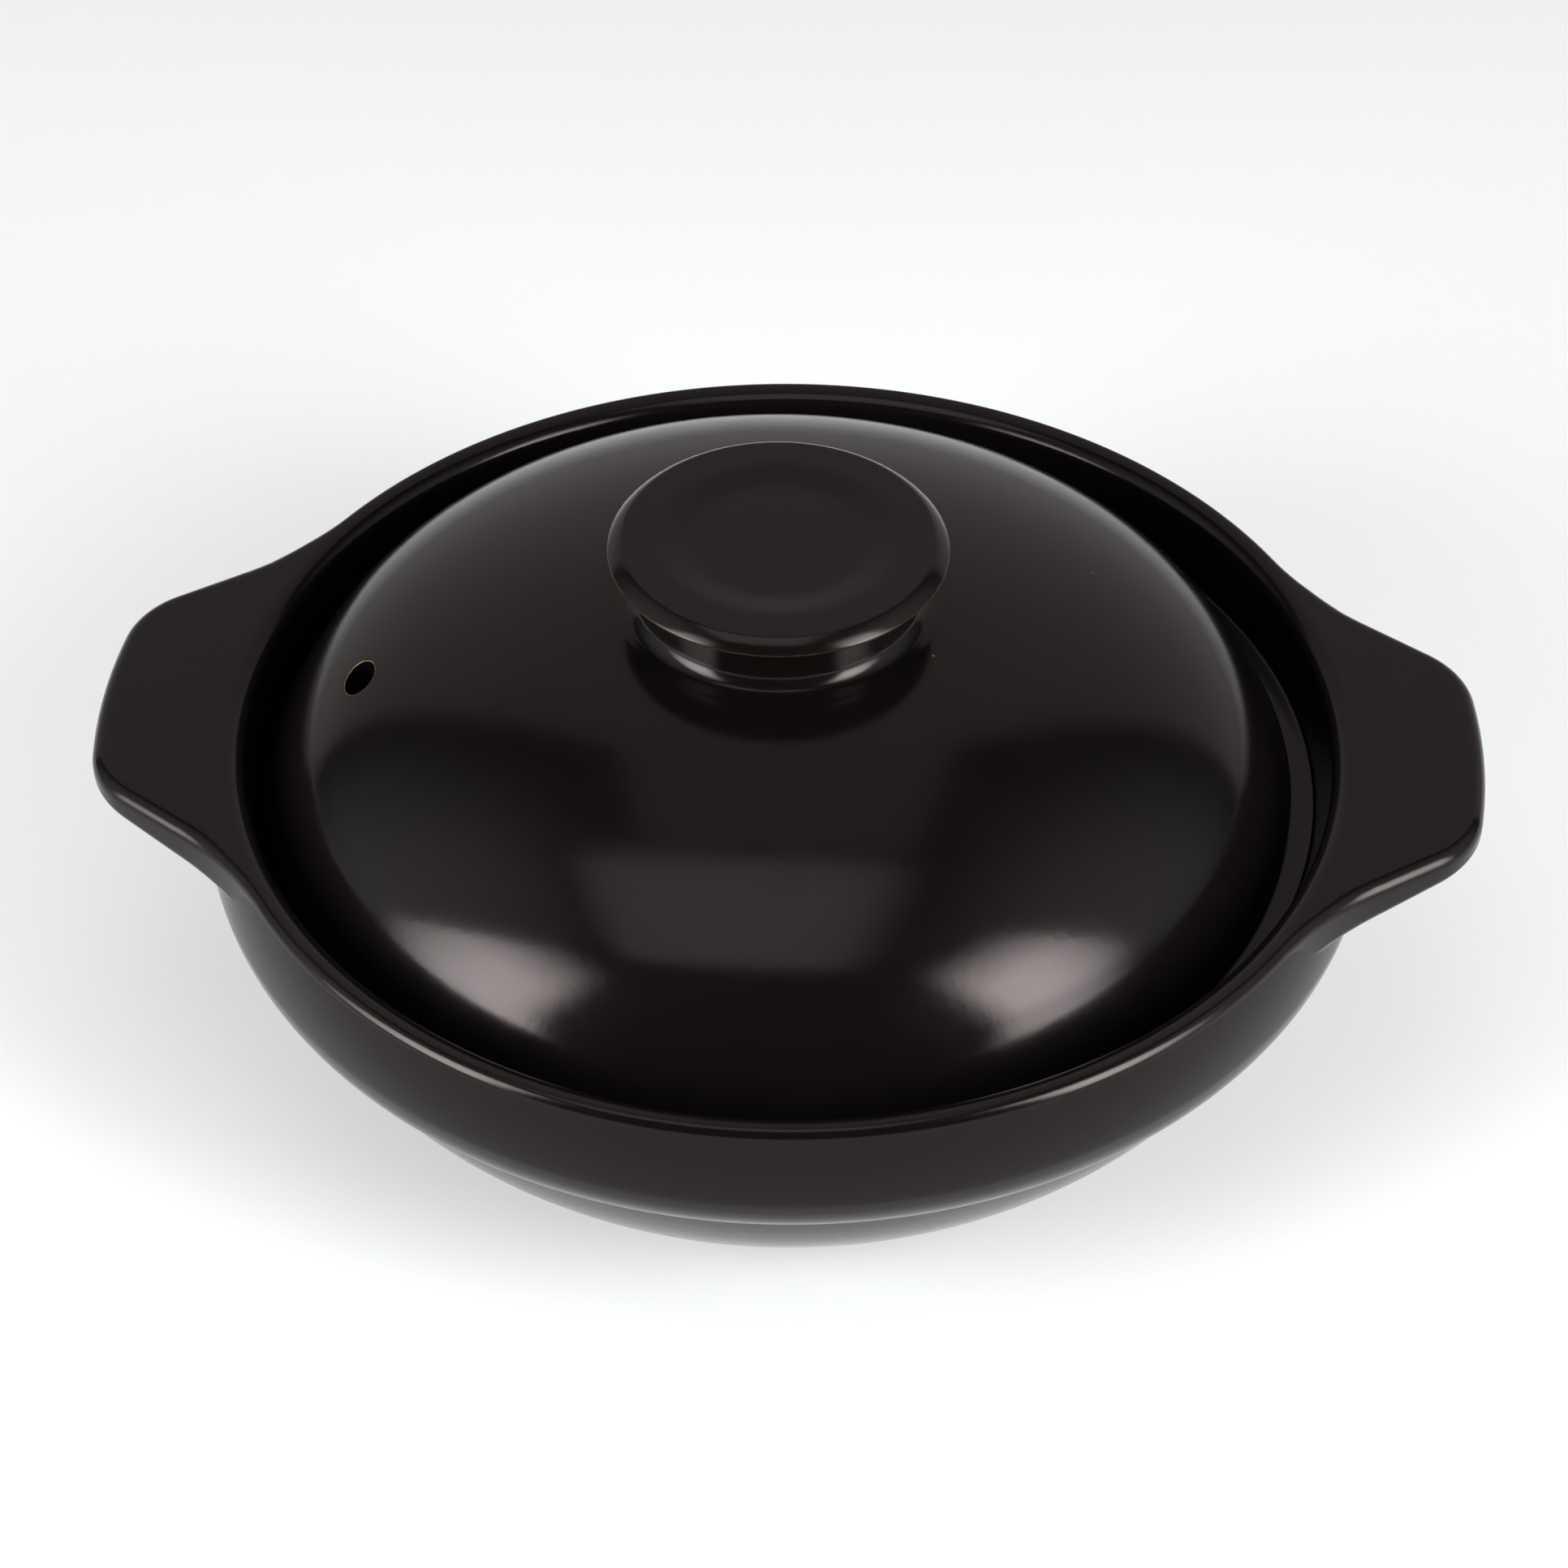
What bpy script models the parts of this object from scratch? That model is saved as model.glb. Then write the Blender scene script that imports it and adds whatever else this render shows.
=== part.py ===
"""Earthenware stew pot with two lug handles and a domed lid.

Metres, +Z up.  The origin is the centre of the foot ring, on the surface that the pot stands on.
The lugs point along X.  The steam hole of the lid is on the -X side.
"""
import math

import bmesh
import bpy
from mathutils import Matrix, Vector

# Clearances between pieces
LUTE_GAP = 0.0003           # left at each joint where one clay member is stuck to another
SEAT_GAP = 0.0003           # between the lid and the ledge that it rests on
LID_PLAY = 0.0026           # radial play of the lid in the rebate of the rim
LID_SIDE_GAP = 0.0003       # what is left of that play on the -X side, where the lid has slid to

# Rim and shoulder band of the pot
RIM_Z = 0.0750              # height of the crest of the rim
BELLY_R = 0.1215            # widest radius of the band
BELLY_Z = 0.0588            # height of the widest place
BAND_ARC_R = 0.0520         # upright curve of the band above its widest place
TUCK_ARC_R = 0.0160         # curve that tucks the band in below its widest place
TUCK_ANGLE = 60.0           # how far that curve turns under, to the crease over the lower bowl
RIM_OUTER_ROUND = 0.0022
RIM_INNER_ROUND = 0.0046

# Rebate that takes the lid
REBATE_DEPTH = 0.0147       # crest of the rim to the ledge
REBATE_LEAN = 14.0          # degrees that the rebate wall leans outward
LEDGE_W = 0.0076            # width of the ledge
LEDGE_ROUND = 0.0010

# Lower bowl and foot
BOWL_BULGE = 0.0060         # how far the bowl swells beyond the straight line from crease to foot
BOWL_WALL = 0.0080
BOWL_TOP_ANGLE = 28.0       # where the inner curve of the bowl ends and the straight wall begins
FLOOR_T = 0.0066            # clay under the cooking surface
FOOT_R = 0.0713
FOOT_W = 0.0078             # width of the foot ring
FOOT_Z = 0.0022             # height at which the bowl meets the foot ring
FOOT_RECESS = 0.0020
FOOT_ROUND = 0.0008

# Lug handles
LUG_PROJECTION = 0.0227     # how far a lug stands out beyond the widest place of the band
LUG_CORNER_R = 0.0205
LUG_SIDE_ANGLE = 35.0       # between each side of a lug and its middle line
LUG_SIDE_INSET = 0.0155     # how far each side line, run on, passes inside the rim's edge
LUG_ROOT_R = 0.0700         # hollow curve where a side runs into the rim
LUG_TIP_T = 0.0070          # thickness at the tip
LUG_ROOT_T = 0.0098         # thickness where the root fillet begins
LUG_ROOT_FILLET = 0.0055    # hollow curve between the underside and the band
LUG_TOP_ROUND = 0.0030
LUG_SEAT_DEPTH = 0.0180     # how far the luted root reaches below the crest
LUG_SEAT_MARGIN = 1.0       # degrees that the root runs on beyond the hollow curves

# Lid
FLANGE_W = 0.0040           # rim of the lid outside the dome
FLANGE_T = 0.0049           # its thickness beside the dome
FLANGE_SLOPE = 20.0         # degrees that its top falls away outward
FLANGE_ROUND = 0.0014
FLANGE_FILLET = 0.0018
DOME_SPRING = 0.0020        # the dome's curve starts this far below the top of the flange
DOME_RISE = 0.0457
DOME_POWER = 2.1            # exponent of the dome's superellipse
LID_WALL = 0.0055
STEAM_HOLE_W = 0.0098       # width of the steam hole round the lid
STEAM_HOLE_H = 0.0081       # its height up the slope of the dome
STEAM_HOLE_R = 0.0860       # distance of the steam hole from the lid's axis
STEAM_HOLE_AZIMUTH = 187.4

# Knob of the lid
KNOB_R = 0.0344
KNOB_RISE = 0.0134          # top of the dome to the top of the knob
KNOB_EDGE_W = 0.0036        # sloping margin round the top of the disc
KNOB_EDGE_DROP = 0.0009
KNOB_LIP = 0.0009           # thickness of the disc's outermost edge
KNOB_DISH_R = 0.0205
KNOB_DISH_SLOPE_W = 0.0040
KNOB_DISH_DEPTH = 0.0018
KNOB_NECK_R = 0.0240
KNOB_NECK_DROP = 0.0070     # top of the knob to the narrowest place of the neck
KNOB_FOOT_R = 0.0328
KNOB_FOOT_T = 0.0012        # thickness of the foot where it meets the dome

TURN_STEPS = 56             # facets round the pot and the lid
KNOB_STEPS = 40             # facets round the knob
LUG_STATIONS = 33           # sections from one side of a lug to the other

# Sizes that follow from the ones above
LEDGE_Z = RIM_Z - REBATE_DEPTH
SEAT_Z = LEDGE_Z + SEAT_GAP
FLANGE_TOP_Z = SEAT_Z + FLANGE_T
DOME_BASE_Z = FLANGE_TOP_Z - DOME_SPRING
DOME_TOP_Z = DOME_BASE_Z + DOME_RISE
KNOB_TOP_Z = DOME_TOP_Z + KNOB_RISE
LUG_SEAT_Z = RIM_Z - LUG_SEAT_DEPTH


def polar(centre, radius, degrees):
    """Point at an angle on a circle in the plane of a section or of the plan."""
    angle = math.radians(degrees)
    return (centre[0] + radius * math.cos(angle), centre[1] + radius * math.sin(angle))


def arc(centre, radius, start, end, count):
    """Points on a circle from one angle to another, in degrees, with both ends."""
    return [polar(centre, radius, start + (end - start) * i / count) for i in range(count + 1)]


def bulged_arc(upper, lower, bulge):
    """Centre and radius of the curve that swells outward between two points."""
    a = Vector(upper)
    half = (Vector(lower) - a) / 2
    radius = (half.length ** 2 + bulge ** 2) / (2 * bulge)
    centre = a + half + Vector((half.y, -half.x)).normalized() * (radius - bulge)
    return (centre.x, centre.y), radius


def angle_of(point, centre):
    return math.degrees(math.atan2(point[1] - centre[1], point[0] - centre[0]))


def fillet(before, corner, after, radius, count):
    """Points that round a corner between two straight lines."""
    c = Vector(corner)
    u = (Vector(before) - c).normalized()
    v = (Vector(after) - c).normalized()
    half = u.angle(v) / 2
    centre = c + (u + v).normalized() * (radius / math.sin(half))
    start = c + u * (radius / math.tan(half)) - centre
    end = c + v * (radius / math.tan(half)) - centre
    sweep = start.angle_signed(end)
    points = []
    for i in range(count + 1):
        turn = -sweep * i / count
        x = start.x * math.cos(turn) - start.y * math.sin(turn)
        y = start.x * math.sin(turn) + start.y * math.cos(turn)
        points.append((centre.x + x, centre.y + y))
    return points


def rim_centre_r():
    """Radius of the crest, where the outer rounding of the rim touches the band's curve."""
    reach = BAND_ARC_R - RIM_OUTER_ROUND
    rise = RIM_Z - RIM_OUTER_ROUND - BELLY_Z
    return BELLY_R - BAND_ARC_R + math.sqrt(reach ** 2 - rise ** 2)


def rebate_wall():
    """Top and bottom ends of the leaning wall of the rebate."""
    lean = math.radians(REBATE_LEAN)
    top = polar((CREST_R, RIM_Z - RIM_INNER_ROUND), RIM_INNER_ROUND, 180 - REBATE_LEAN)
    return top, (top[0] - (top[1] - LEDGE_Z) * math.tan(lean), LEDGE_Z)


CREST_R = rim_centre_r()
REBATE_R = rebate_wall()[1][0]
FLANGE_R = REBATE_R - LID_PLAY
DOME_R = FLANGE_R - FLANGE_W
LID_X = LID_SIDE_GAP - LID_PLAY
BAND_CENTRE = (BELLY_R - BAND_ARC_R, BELLY_Z)
TUCK_CENTRE = (BELLY_R - TUCK_ARC_R, BELLY_Z)
CREASE = polar(TUCK_CENTRE, TUCK_ARC_R, -TUCK_ANGLE)
BOWL_CENTRE, BOWL_ARC_R = bulged_arc(CREASE, (FOOT_R, FOOT_Z), BOWL_BULGE)


def band_outside(lowest_z, count):
    """Outer line of the rim and band, from the crest down to a height above the widest place or below."""
    rim = (CREST_R, RIM_Z - RIM_OUTER_ROUND)
    join = angle_of(rim, BAND_CENTRE)
    line = arc(rim, RIM_OUTER_ROUND, 90, join, 5)
    if lowest_z >= BELLY_Z:
        last = math.degrees(math.asin((lowest_z - BELLY_Z) / BAND_ARC_R))
        return line + arc(BAND_CENTRE, BAND_ARC_R, join, last, count)[1:]
    line += arc(BAND_CENTRE, BAND_ARC_R, join, 0, count)[1:]
    last = -math.degrees(math.asin((BELLY_Z - lowest_z) / TUCK_ARC_R))
    return line + arc(TUCK_CENTRE, TUCK_ARC_R, 0, last, count)[1:]


def bowl_profile():
    """Section of the pot from the middle of its floor, over the rim, to the middle of its underside."""
    floor_z = FOOT_RECESS + FLOOR_T
    inner_r = BOWL_ARC_R - BOWL_WALL
    floor_angle = -math.degrees(math.asin((BOWL_CENTRE[1] - floor_z) / inner_r))
    wall_top, wall_foot = rebate_wall()
    ledge_edge = (wall_foot[0] - LEDGE_W, LEDGE_Z)
    line = [(0, floor_z)]
    inside = arc(BOWL_CENTRE, inner_r, floor_angle, -BOWL_TOP_ANGLE, 7)
    line += inside
    line += fillet(inside[-1], ledge_edge, wall_foot, LEDGE_ROUND, 2)
    line += fillet(ledge_edge, wall_foot, wall_top, LEDGE_ROUND, 2)
    line += arc((CREST_R, RIM_Z - RIM_INNER_ROUND), RIM_INNER_ROUND, 180 - REBATE_LEAN, 90, 4)
    line += band_outside(CREASE[1], 5)[1:]
    foot_top = (FOOT_R, FOOT_Z)
    line += arc(BOWL_CENTRE, BOWL_ARC_R, angle_of(CREASE, BOWL_CENTRE), angle_of(foot_top, BOWL_CENTRE), 7)[1:]
    outer = (FOOT_R, 0)
    inner = (FOOT_R - FOOT_W, 0)
    recess = (FOOT_R - FOOT_W, FOOT_RECESS)
    line += fillet(foot_top, outer, inner, FOOT_ROUND, 2)
    line += fillet(outer, inner, recess, FOOT_ROUND, 2)
    line += fillet(inner, recess, (0, FOOT_RECESS), FOOT_ROUND, 2)
    line.append((0, FOOT_RECESS))
    return line


def dome_arc(radius, rise, count):
    """Superellipse from the top of the dome down to its springing."""
    power = 2 / DOME_POWER
    points = []
    for i in range(count + 1):
        angle = math.radians(90 * (1 - i / count))
        across = radius * max(math.cos(angle), 0) ** power
        points.append((0 if i == 0 else across, DOME_BASE_Z + rise * max(math.sin(angle), 0) ** power))
    return points


def dome_z(radius):
    """Height of the outside of the dome at a distance from the lid's axis."""
    return DOME_BASE_Z + DOME_RISE * (1 - (radius / DOME_R) ** DOME_POWER) ** (1 / DOME_POWER)


def dome_lean(radius):
    """Angle between the lid's axis and the outward normal of the dome at a distance from that axis."""
    share = (radius / DOME_R) ** DOME_POWER
    slope = DOME_RISE / radius * share * (1 - share) ** (1 / DOME_POWER - 1)
    return math.atan(slope)


def lid_profile():
    """Section of the lid from the top of the dome, round the flange, to the middle of its underside."""
    outside = [p for p in dome_arc(DOME_R, DOME_RISE, 17) if p[1] > FLANGE_TOP_Z + 2 * FLANGE_FILLET]
    step = (DOME_R, FLANGE_TOP_Z)
    top_edge = (FLANGE_R, FLANGE_TOP_Z - FLANGE_W * math.tan(math.radians(FLANGE_SLOPE)))
    low_edge = (FLANGE_R, SEAT_Z)
    inner_edge = (DOME_R - LID_WALL, SEAT_Z)
    line = list(outside)
    line += fillet(outside[-1], step, top_edge, FLANGE_FILLET, 2)
    line += fillet(step, top_edge, low_edge, FLANGE_ROUND, 3)
    line += fillet(top_edge, low_edge, inner_edge, FLANGE_ROUND, 3)
    line.append(inner_edge)
    line += reversed(dome_arc(DOME_R - LID_WALL, DOME_RISE - LID_WALL, 11))
    return line


def knob_profile():
    """Section of the knob from the middle of its dished top, round the disc and neck, to its foot."""
    top = KNOB_TOP_Z
    dish_z = top - KNOB_DISH_DEPTH
    line = [(0, dish_z), (KNOB_DISH_R, dish_z)]
    for i in range(1, 5):
        share = i / 4
        rise = share * share * (3 - 2 * share)
        line.append((KNOB_DISH_R + KNOB_DISH_SLOPE_W * share, dish_z + KNOB_DISH_DEPTH * rise))
    for i in range(5):
        angle = math.radians(90 - 22.5 * i)
        line.append((KNOB_R + KNOB_EDGE_W * (math.cos(angle) - 1), top + KNOB_EDGE_DROP * (math.sin(angle) - 1)))
    edge_z = top - KNOB_EDGE_DROP - KNOB_LIP
    neck_z = top - KNOB_NECK_DROP
    foot_z = dome_z(KNOB_FOOT_R) + LUTE_GAP + KNOB_FOOT_T
    for i in range(6):
        angle = math.radians(90 - 18 * i)
        across = (KNOB_R - KNOB_NECK_R) * math.cos(angle)
        line.append((KNOB_R - across, neck_z + (edge_z - neck_z) * math.sin(angle)))
    for i in range(1, 6):
        angle = math.radians(18 * i)
        across = (KNOB_FOOT_R - KNOB_NECK_R) * math.cos(angle)
        line.append((KNOB_FOOT_R - across, neck_z - (neck_z - foot_z) * math.sin(angle)))
    for i in range(5):
        radius = KNOB_FOOT_R * (1 - i / 4)
        line.append((radius, dome_z(radius) + LUTE_GAP))
    return line


def lug_plan():
    """Plan of half a lug: where its side line, corner and hollow root curve meet."""
    across = 90 - LUG_SIDE_ANGLE
    root_reach = RIM_EDGE_R + LUG_ROOT_R
    root_turn = math.degrees(math.acos((LUG_SIDE_REACH + LUG_ROOT_R) / root_reach))
    corner_reach = LUG_TIP_R - LUG_CORNER_R
    corner_turn = math.degrees(math.acos((LUG_SIDE_REACH - LUG_CORNER_R) / corner_reach))
    return across, (root_reach, across - root_turn), (corner_reach, across - corner_turn)


def lug_edge_r(azimuth):
    """Distance from the pot's axis to the edge of the lug, at an angle from its middle line."""
    across, root, corner = lug_plan()
    azimuth = abs(azimuth)
    if azimuth >= root[1]:
        return RIM_EDGE_R
    corner_point = Vector(polar((0, 0), corner[0], corner[1])) + Vector(polar((0, 0), LUG_CORNER_R, across))
    root_point = Vector(polar((0, 0), root[0], root[1])) - Vector(polar((0, 0), LUG_ROOT_R, across))
    if azimuth <= corner[1]:
        return LUG_TIP_R
    if azimuth <= angle_of(corner_point, (0, 0)):
        turn = math.radians(azimuth - corner[1])
        side = corner[0] * math.sin(turn)
        return corner[0] * math.cos(turn) + math.sqrt(LUG_CORNER_R ** 2 - side ** 2)
    if azimuth <= angle_of(root_point, (0, 0)):
        return LUG_SIDE_REACH / math.cos(math.radians(across - azimuth))
    turn = math.radians(root[1] - azimuth)
    side = root[0] * math.sin(turn)
    return root[0] * math.cos(turn) - math.sqrt(LUG_ROOT_R ** 2 - side ** 2)


def lug_underside():
    """Underside of a lug in its middle section, from beyond the tip to the band."""
    root = (BELLY_R + LUG_ROOT_FILLET, RIM_Z - LUG_ROOT_T)
    slope = (LUG_ROOT_T - LUG_TIP_T) / (LUG_TIP_R - root[0])
    far = LUG_TIP_R + LUG_CORNER_R
    line = [(far, RIM_Z - LUG_TIP_T + slope * LUG_CORNER_R), root]
    turn = math.degrees(math.atan(slope))
    centre = (root[0] + LUG_ROOT_FILLET * math.sin(math.radians(turn)), root[1] - LUG_ROOT_FILLET)
    line += arc(centre, LUG_ROOT_FILLET, 90 + turn, 180, 5)[1:]
    line.append((line[-1][0], LUG_SEAT_Z))
    return line


def reach_along(line, origin, degrees):
    """Distance from a point to a line of a section, in a direction."""
    direction = Vector(polar((0, 0), 1, degrees))
    start = Vector(origin)
    best = 0.0
    for p, q in zip(line, line[1:]):
        a = Vector(p) - start
        along = Vector(q) - Vector(p)
        det = direction.x * -along.y + direction.y * along.x
        if abs(det) < 1e-12:
            continue
        reach = (a.x * -along.y + a.y * along.x) / det
        share = (direction.x * a.y - direction.y * a.x) / det
        if -1e-6 <= share <= 1 + 1e-6 and reach > best:
            best = reach
    return best


def lug_section(azimuth):
    """Section of a lug and its luted root at an angle from its middle line.

    Each point lies on a ray from one point of the seat.  It is taken on the lug, or on the
    pot's band where that stands further out, so the lug fades into the band at its ends.
    """
    edge = lug_edge_r(azimuth)
    origin = (CREST_R, RIM_Z - LUG_TOP_ROUND)
    top_round = min(LUG_TOP_ROUND, 0.8 * (edge - CREST_R))
    points = []
    for i in range(6):
        angle = math.radians(90 - 18 * i)
        across = edge - top_round * (1 - math.cos(angle))
        points.append((across, RIM_Z - LUG_TOP_ROUND * (1 - math.sin(angle))))
    under = lug_underside()
    wall = [(edge, RIM_Z), (edge, LUG_SEAT_Z)]
    rays = [angle_of(p, origin) for p in points]
    reaches = [(Vector(p) - Vector(origin)).length for p in points]
    corner_angle = under_corner_angle(edge, under, origin)
    last = angle_of((BELLY_R, LUG_SEAT_Z), origin)
    corner_angle = max(corner_angle, 0.9 * last)
    steps = [corner_angle * share for share in (0.4, 0.8)]
    steps += [corner_angle + (last - corner_angle) * share for share in (0.03, 0.15, 0.3, 0.45, 0.6, 0.75, 0.9)]
    for ray in steps:
        rays.append(ray)
        reaches.append(min(reach_along(under, origin, ray), reach_along(wall, origin, ray)))
    band = band_outside(LUG_SEAT_Z, 6)
    section = [(CREST_R, RIM_Z)]
    for ray, reach in zip(rays, reaches):
        section.append(polar(origin, max(reach, reach_along(band, origin, ray)), ray))
    section.append(band[-1])
    section.append((CREST_R, LUG_SEAT_Z))
    return section


def under_corner_angle(edge, under, origin):
    """Direction from the section's origin to the lower corner of the lug's edge."""
    for p, q in zip(under, under[1:]):
        if q[0] <= edge <= p[0] and p[0] > q[0]:
            share = (p[0] - edge) / (p[0] - q[0])
            return angle_of((edge, p[1] + (q[1] - p[1]) * share), origin)
    return angle_of((edge, under[-2][1]), origin)


RIM_EDGE_R = BELLY_R - BAND_ARC_R + math.sqrt(BAND_ARC_R ** 2 - (RIM_Z - RIM_OUTER_ROUND - BELLY_Z) ** 2)
LUG_TIP_R = BELLY_R + LUG_PROJECTION
LUG_SIDE_REACH = RIM_EDGE_R - LUG_SIDE_INSET
LUG_HALF_ANGLE = lug_plan()[1][1] + LUG_SEAT_MARGIN


def clear_scene():
    for obj in list(bpy.data.objects):
        bpy.data.objects.remove(obj, do_unlink=True)
    for collection in list(bpy.data.collections):
        bpy.data.collections.remove(collection)


def new_collection(name):
    collection = bpy.data.collections.new(name)
    bpy.context.scene.collection.children.link(collection)
    return collection


def glaze(name, colour, roughness):
    material = bpy.data.materials.new(name)
    material.use_nodes = True
    shader = material.node_tree.nodes["Principled BSDF"]
    shader.inputs["Base Color"].default_value = (*colour, 1)
    shader.inputs["Roughness"].default_value = roughness
    shader.inputs["Metallic"].default_value = 0
    return material


def add_object(name, bm, collection, material=None):
    """Object from a bmesh, shaded smooth but for its sharp edges."""
    mesh = bpy.data.meshes.new(name)
    bm.to_mesh(mesh)
    bm.free()
    mesh.shade_smooth()
    mesh.set_sharp_from_angle(angle=math.radians(30))
    obj = bpy.data.objects.new(name, mesh)
    collection.objects.link(obj)
    if material:
        mesh.materials.append(material)
    return obj


def turned(name, profile, steps, collection, material):
    """Piece thrown on the wheel: a section line turned about Z by a Screw modifier."""
    bm = bmesh.new()
    last = None
    for radius, height in profile:
        vert = bm.verts.new((radius, 0, height))
        if last:
            bm.edges.new((last, vert))
        last = vert
    obj = add_object(name, bm, collection, material)
    screw = obj.modifiers.new("Turn", "SCREW")
    screw.axis = "Z"
    screw.steps = steps
    screw.render_steps = steps
    screw.use_merge_vertices = True
    screw.merge_threshold = 0.00001
    screw.use_smooth_shade = True
    return obj


def lug(name, collection, material):
    """Lug handle with its luted root, lofted through sections round the pot's axis."""
    bm = bmesh.new()
    rows = []
    for i in range(LUG_STATIONS):
        azimuth = LUG_HALF_ANGLE * (2 * i / (LUG_STATIONS - 1) - 1)
        turn = Matrix.Rotation(math.radians(azimuth), 4, "Z")
        rows.append([bm.verts.new(turn @ Vector((r, 0, z))) for r, z in lug_section(azimuth)])
    for row, after in zip(rows, rows[1:]):
        for i, vert in enumerate(row):
            bm.faces.new((vert, after[i], after[i - 1], row[i - 1]))
    bm.faces.new(rows[0])
    bm.faces.new(reversed(rows[-1]))
    bmesh.ops.recalc_face_normals(bm, faces=bm.faces)
    return add_object(name, bm, collection, material)


def seat_cutter(name, collection):
    """Block that cuts the scored seat for a lug's root out of the rim and band."""
    half = LUG_HALF_ANGLE + math.degrees(LUTE_GAP / CREST_R)
    inner = CREST_R - LUTE_GAP
    outer = BELLY_R + LUG_ROOT_FILLET
    outline = arc((0, 0), inner, -half, half, LUG_STATIONS - 1)
    outline += arc((0, 0), outer, half, -half, LUG_STATIONS - 1)
    bm = bmesh.new()
    base = bm.faces.new([bm.verts.new((x, y, LUG_SEAT_Z - LUTE_GAP)) for x, y in outline])
    raised = bmesh.ops.extrude_face_region(bm, geom=[base])["geom"]
    height = LUG_SEAT_DEPTH + RIM_OUTER_ROUND
    bmesh.ops.translate(bm, vec=(0, 0, height), verts=[v for v in raised if isinstance(v, bmesh.types.BMVert)])
    bmesh.ops.recalc_face_normals(bm, faces=bm.faces)
    return cutter(add_object(name, bm, collection))


def hole_cutter(name, collection):
    """Oval pin that pokes the steam hole through the lid, square to the dome."""
    place = Matrix.Rotation(math.radians(STEAM_HOLE_AZIMUTH), 4, "Z")
    place @= Matrix.Translation((STEAM_HOLE_R, 0, dome_z(STEAM_HOLE_R)))
    place @= Matrix.Rotation(dome_lean(STEAM_HOLE_R), 4, "Y")
    place @= Matrix.Diagonal((STEAM_HOLE_H / 2, STEAM_HOLE_W / 2, 1, 1))
    bm = bmesh.new()
    bmesh.ops.create_cone(bm, cap_ends=True, segments=24, radius1=1, radius2=1, depth=4 * LID_WALL, matrix=place)
    return cutter(add_object(name, bm, collection))


def cutter(obj):
    obj.hide_render = True
    obj.display_type = "WIRE"
    return obj


def cut(obj, tool):
    boolean = obj.modifiers.new(tool.name, "BOOLEAN")
    boolean.operation = "DIFFERENCE"
    boolean.solver = "EXACT"
    boolean.object = tool


def build():
    clear_scene()
    parts = new_collection("earthenware_stew_pot")
    cutters = new_collection("cutters")
    pot_glaze = glaze("black satin glaze on the pot", (0.019, 0.015, 0.013), 0.32)
    lug_glaze = glaze("black satin glaze on the lugs", (0.021, 0.017, 0.015), 0.34)
    lid_glaze = glaze("black satin glaze on the lid", (0.018, 0.014, 0.012), 0.30)
    knob_glaze = glaze("black satin glaze on the knob", (0.018, 0.014, 0.012), 0.34)

    pot = turned("pot_body", bowl_profile(), TURN_STEPS, parts, pot_glaze)
    right = lug("lug_handle_right", parts, lug_glaze)
    left = bpy.data.objects.new("lug_handle_left", right.data)
    left.rotation_euler.z = math.pi
    parts.objects.link(left)
    for name, turn in (("seat_right", 0), ("seat_left", math.pi)):
        tool = seat_cutter(name, cutters)
        tool.rotation_euler.z = turn
        cut(pot, tool)

    lid_axis = bpy.data.objects.new("lid_axis", None)
    lid_axis.location = (LID_X, 0, 0)
    parts.objects.link(lid_axis)
    dome = turned("lid_dome", lid_profile(), TURN_STEPS, parts, lid_glaze)
    knob = turned("lid_knob", knob_profile(), KNOB_STEPS, parts, knob_glaze)
    hole = hole_cutter("steam_hole", cutters)
    for piece in (dome, knob, hole):
        piece.parent = lid_axis
    cut(dome, hole)


build()
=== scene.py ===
"""Looks of the earthenware stew pot: near-black satin glaze, with its domed lid on, in a plain white studio.

Lengths below are in millimetres and angles in degrees.  The frame is in metres.
"""
import math

import bpy
import numpy as np
from mathutils import Matrix, Vector


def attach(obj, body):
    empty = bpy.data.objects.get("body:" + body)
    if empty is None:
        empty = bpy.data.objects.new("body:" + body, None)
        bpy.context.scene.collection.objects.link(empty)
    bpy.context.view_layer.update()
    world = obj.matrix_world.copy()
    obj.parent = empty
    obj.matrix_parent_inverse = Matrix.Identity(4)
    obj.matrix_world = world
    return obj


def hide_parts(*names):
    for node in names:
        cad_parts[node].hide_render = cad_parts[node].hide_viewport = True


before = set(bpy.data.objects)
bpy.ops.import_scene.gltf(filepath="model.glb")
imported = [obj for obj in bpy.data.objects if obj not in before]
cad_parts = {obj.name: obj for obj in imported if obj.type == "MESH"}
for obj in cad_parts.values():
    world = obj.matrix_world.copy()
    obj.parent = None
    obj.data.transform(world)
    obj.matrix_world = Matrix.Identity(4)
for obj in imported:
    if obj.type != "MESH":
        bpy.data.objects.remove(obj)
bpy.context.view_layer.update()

MM = 0.001

# Pot
RIM_Z = 75.0
BELLY = (121.5, 58.8)           # widest place of the shoulder band: distance from the axis, height
BAND_CURVE = 52.0               # curve of the band from its widest place up to the rim
TUCK_CURVE = 16.0               # and from there down and in to the crease
TUCK_TURN = 60.0
RIM_ROUND = 2.2
RIM_INNER_ROUND = 4.6
REBATE_LEAN = 14.0              # how far the wall of the rebate leans outward
LEDGE_Z = 60.3                  # ledge that the lid rests on
LEDGE_W = 7.6
BOWL_BULGE = 6.0                # how far the bowl swells beyond the straight line from crease to foot
BOWL_WALL = 8.0
FLOOR_Z = 8.6
FOOT = (71.3, 63.5)             # outer and inner edge of the foot ring
FOOT_TOP = 2.2
FOOT_RECESS = 2.0

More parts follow.
